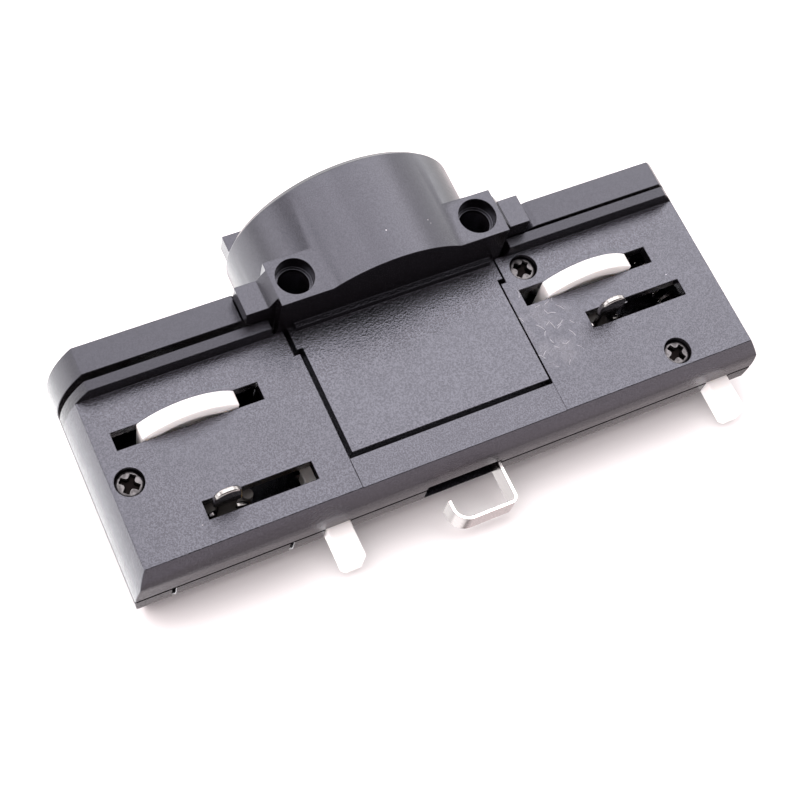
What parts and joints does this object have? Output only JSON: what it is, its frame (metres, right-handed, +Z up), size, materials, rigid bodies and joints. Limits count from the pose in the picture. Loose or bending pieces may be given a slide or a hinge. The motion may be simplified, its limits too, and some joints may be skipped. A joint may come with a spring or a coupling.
{
  "type": "track light adapter",
  "caption": "Black moulded track light adapter with turning levers, white lock cams, plated contact tongues, sprung pegs, an earth hook and a round lamp saddle.",
  "frame": {"origin": "middle of the drum's end face, at the mouth of the lamp well", "axes": "+Z up from the lamp to the track, +X along the body, -Y out of the face with the contact slots"},
  "size_m": [0.111, 0.041, 0.0603],
  "materials": {
    "black_plastic": "satin moulded grain",
    "white_plastic": "smooth moulded",
    "plated_steel": "bright nickel plate",
    "brass": "stamped",
    "dark_steel": "dark plate with worn recess"
  },
  "bodies": {
    "adapter": {"front_shell": "black_plastic", "back_shell": "black_plastic", "lamp_saddle": "black_plastic", "lamp_nut": "plated_steel", "neutral_wiper": "brass", "phase_wiper": "brass", "neutral_terminal": "brass", "phase_terminal": "brass", "earth_terminal": "brass", "terminal_screws": "dark_steel", "earth_spring": "plated_steel", "neutral_plunger_spring": "plated_steel", "phase_plunger_spring": "plated_steel", "shell_screws": "dark_steel"},
    "neutral_spindle": {"neutral_lever": "black_plastic", "neutral_rotor": "white_plastic", "neutral_lever_screw": "dark_steel", "neutral_blade": "plated_steel"},
    "phase_spindle": {"phase_lever": "black_plastic", "phase_rotor": "white_plastic", "phase_lever_screw": "dark_steel", "phase_blade": "plated_steel"},
    "neutral_peg": {"neutral_plunger": "white_plastic"},
    "phase_peg": {"phase_plunger": "white_plastic"}
  },
  "joints": [
    {"name": "neutral_turn", "type": "hinge", "parent": "adapter", "child": "neutral_spindle", "pos_m": [0.0383, 0, 0.0145], "axis": [0, 0, -1], "range_deg": [0, 90]},
    {"name": "phase_turn", "type": "hinge", "parent": "adapter", "child": "phase_spindle", "pos_m": [-0.0324, 0, 0.0145], "axis": [0, 0, -1], "range_deg": [0, 90]},
    {"name": "neutral_press", "type": "slide", "parent": "adapter", "child": "neutral_peg", "axis": [0, 0, -1], "range_m": [0, 0.005], "stiffness_N_per_m": 300, "springref_m": -0.002, "deforming": ["neutral_plunger_spring"]},
    {"name": "phase_press", "type": "slide", "parent": "adapter", "child": "phase_peg", "axis": [0, 0, -1], "range_m": [0, 0.005], "stiffness_N_per_m": 300, "springref_m": -0.002, "deforming": ["phase_plunger_spring"]}
  ]
}
